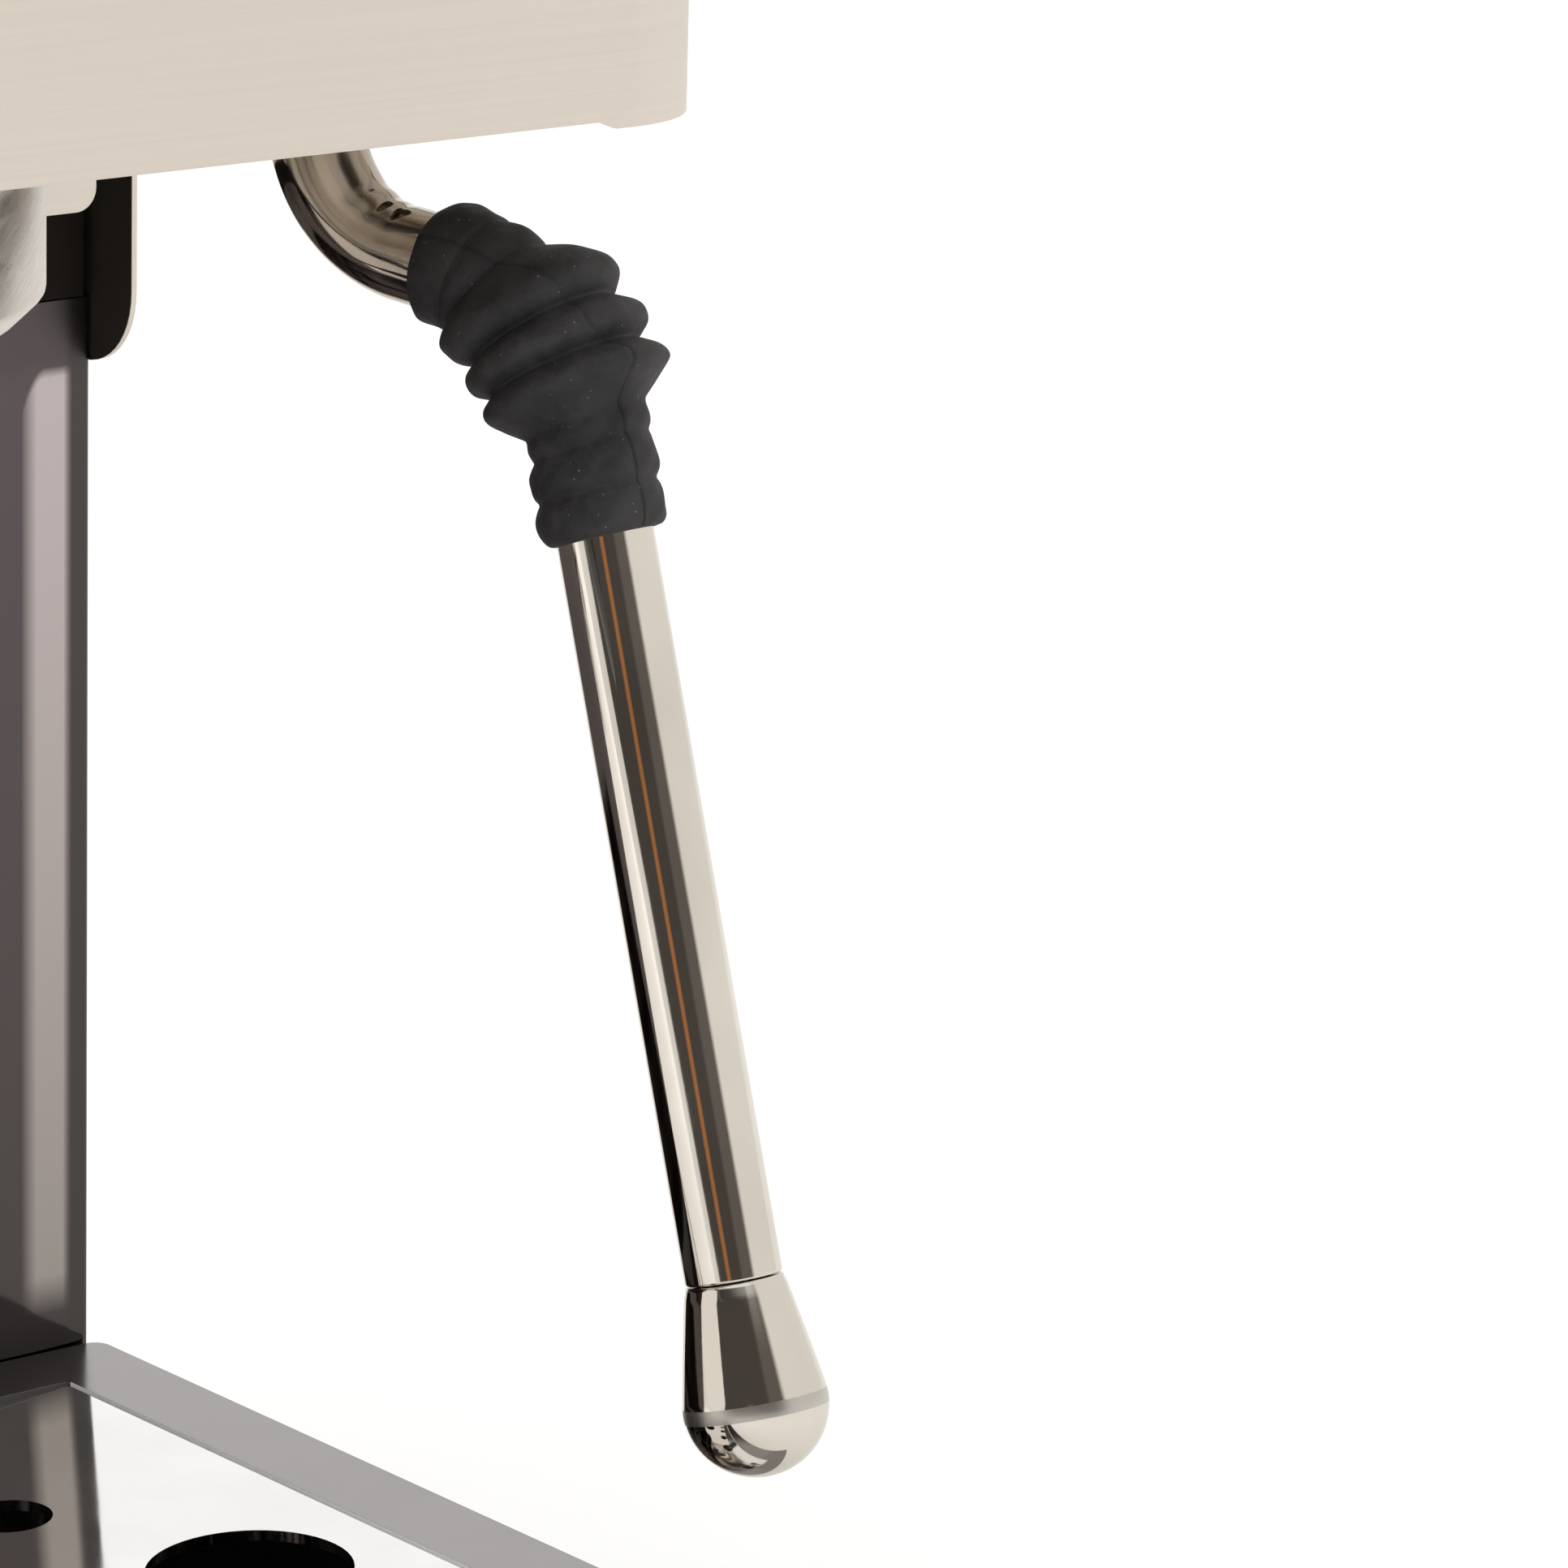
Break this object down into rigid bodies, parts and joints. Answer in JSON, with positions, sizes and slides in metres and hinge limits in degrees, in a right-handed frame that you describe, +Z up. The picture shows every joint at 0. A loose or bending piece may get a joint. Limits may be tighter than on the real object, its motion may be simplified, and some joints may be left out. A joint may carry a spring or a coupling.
{
  "type": "espresso machine",
  "caption": "Compact espresso machine with an overhanging steel housing, group and portafilter, rubber-gripped steam wand, drip tray and rear water tank.",
  "frame": {"origin": "on the worktop, under the middle of the whole footprint with the portafilter's handle at its rest angle", "axes": "+Z up, -Y towards the front where the drip tray is, +X to the right as seen from the front"},
  "size_m": [0.198, 0.3304, 0.375],
  "materials": {
    "housing_steel": "satin, grain along the width",
    "tray_steel": "satin",
    "plate_steel": "mirror polished",
    "column_steel": "mirror polished",
    "wand_steel": "mirror polished",
    "group_steel": "turned",
    "fine_steel": "satin",
    "brass": "cast and machined",
    "copper": "drawn tube",
    "zinc_steel": "zinc plated",
    "grip_rubber": "matte",
    "foot_rubber": "matte",
    "black_plastic": "fine moulded grain",
    "rocker_plastic": "semi gloss",
    "clear_plastic": "clear",
    "white_plastic": "smooth",
    "pump_plastic": "moulded",
    "board": "lacquered",
    "dial_face": "printed",
    "needle_black": "matte",
    "window": "tinted",
    "clear_glass": "clear"
  },
  "bodies": {
    "machine": {"housing_shell": "housing_steel", "lower_side_left": "housing_steel", "lower_side_right": "housing_steel", "rear_panel": "housing_steel", "top_tray": "housing_steel", "underside_pan": "housing_steel", "column_panel": "column_steel", "cup_rail": "wand_steel", "gauge_bezel": "wand_steel", "group_collar": "group_steel", "ball_nut": "group_steel", "shower_screen": "fine_steel", "screen_screw": "fine_steel", "heating_element": "fine_steel", "case_screws": "fine_steel", "group_head": "brass", "steam_valve": "brass", "boiler": "brass", "feed_pipe": "copper", "steam_pipe": "copper", "base_frame": "zinc_steel", "chassis_frame": "zinc_steel", "tank_shelf": "zinc_steel", "feet": "foot_rubber", "group_gasket": "foot_rubber", "fascia": "black_plastic", "display_module": "black_plastic", "switch_frames": "black_plastic", "power_inlet": "black_plastic", "suction_hose": "white_plastic", "pump": "pump_plastic", "solenoid_valve": "pump_plastic", "gauge_case": "pump_plastic", "control_board": "board", "gauge_dial": "dial_face", "display_window": "window", "gauge_glass": "clear_glass"},
    "drip_tray": {"drip_tray": "tray_steel", "tray_front": "housing_steel"},
    "drip_plate": {"drip_plate": "plate_steel"},
    "water_tank": {"water_tank": "clear_plastic", "lid_pin": "wand_steel"},
    "tank_lid": {"tank_lid": "housing_steel"},
    "portafilter": {"portafilter": "wand_steel", "filter_basket": "fine_steel", "portafilter_handle": "black_plastic", "spout": "wand_steel"},
    "steam_knob": {"steam_knob": "black_plastic", "steam_spindle": "fine_steel"},
    "wand_seat": {"ball_seat": "white_plastic"},
    "steam_wand": {"wand_pipe": "wand_steel", "wand_tube": "wand_steel", "wand_grip": "grip_rubber", "wand_tip": "wand_steel"},
    "power_switch": {"power_switch": "rocker_plastic"},
    "brew_switch": {"brew_switch": "rocker_plastic"},
    "steam_switch": {"steam_switch": "rocker_plastic"},
    "button_minus": {"button_minus": "fine_steel"},
    "button_plus": {"button_plus": "fine_steel"},
    "gauge_needle": {"gauge_needle": "needle_black"}
  },
  "joints": [
    {"name": "tray_slide", "type": "slide", "parent": "machine", "child": "drip_tray", "axis": [0, -1, 0], "range_m": [0, 0.14]},
    {"name": "plate_lift", "type": "slide", "parent": "drip_tray", "child": "drip_plate", "axis": [0, 0, 1], "range_m": [0, 0.02]},
    {"name": "tank_lift", "type": "slide", "parent": "machine", "child": "water_tank", "axis": [0, 0, 1], "range_m": [0, 0.24]},
    {"name": "lid_hinge", "type": "hinge", "parent": "water_tank", "child": "tank_lid", "pos_m": [0, 0.15319, 0.341], "axis": [-1, 0, 0], "range_deg": [0, 95]},
    {"name": "portafilter_turn", "type": "hinge", "parent": "machine", "child": "portafilter", "pos_m": [0, -0.05061, 0.2146], "axis": [0, 0, 1], "range_deg": [0, 40]},
    {"name": "steam_valve_turn", "type": "hinge", "parent": "machine", "child": "steam_knob", "pos_m": [0.07, -0.09981, 0.29], "axis": [0, -1, 0], "range_deg": [0, 300]},
    {"name": "wand_swivel", "type": "hinge", "parent": "machine", "child": "wand_seat", "pos_m": [0.078, -0.05811, 0.23], "axis": [0, 0, 1], "range_deg": [-30, 75]},
    {"name": "wand_tilt", "type": "hinge", "parent": "wand_seat", "child": "steam_wand", "pos_m": [0.078, -0.05811, 0.23], "axis": [0.9426, 0.3338, 0], "range_deg": [-6, 6]},
    {"name": "power_rocker", "type": "hinge", "parent": "machine", "child": "power_switch", "pos_m": [-0.022, -0.09581, 0.258], "axis": [1, 0, 0], "range_deg": [0, 14]},
    {"name": "brew_rocker", "type": "hinge", "parent": "machine", "child": "brew_switch", "pos_m": [0, -0.09581, 0.258], "axis": [1, 0, 0], "range_deg": [0, 14]},
    {"name": "steam_rocker", "type": "hinge", "parent": "machine", "child": "steam_switch", "pos_m": [0.022, -0.09581, 0.258], "axis": [1, 0, 0], "range_deg": [0, 14]},
    {"name": "minus_press", "type": "slide", "parent": "machine", "child": "button_minus", "axis": [0, 1, 0], "range_m": [0, 0.0015], "stiffness_N_per_m": 400, "springref_m": -0.002},
    {"name": "plus_press", "type": "slide", "parent": "machine", "child": "button_plus", "axis": [0, 1, 0], "range_m": [0, 0.0015], "stiffness_N_per_m": 400, "springref_m": -0.002},
    {"name": "needle_turn", "type": "hinge", "parent": "machine", "child": "gauge_needle", "pos_m": [-0.062, -0.09281, 0.29], "axis": [0, 1, 0], "range_deg": [0, 260], "stiffness_Nm_per_rad": 0.0005}
  ]
}
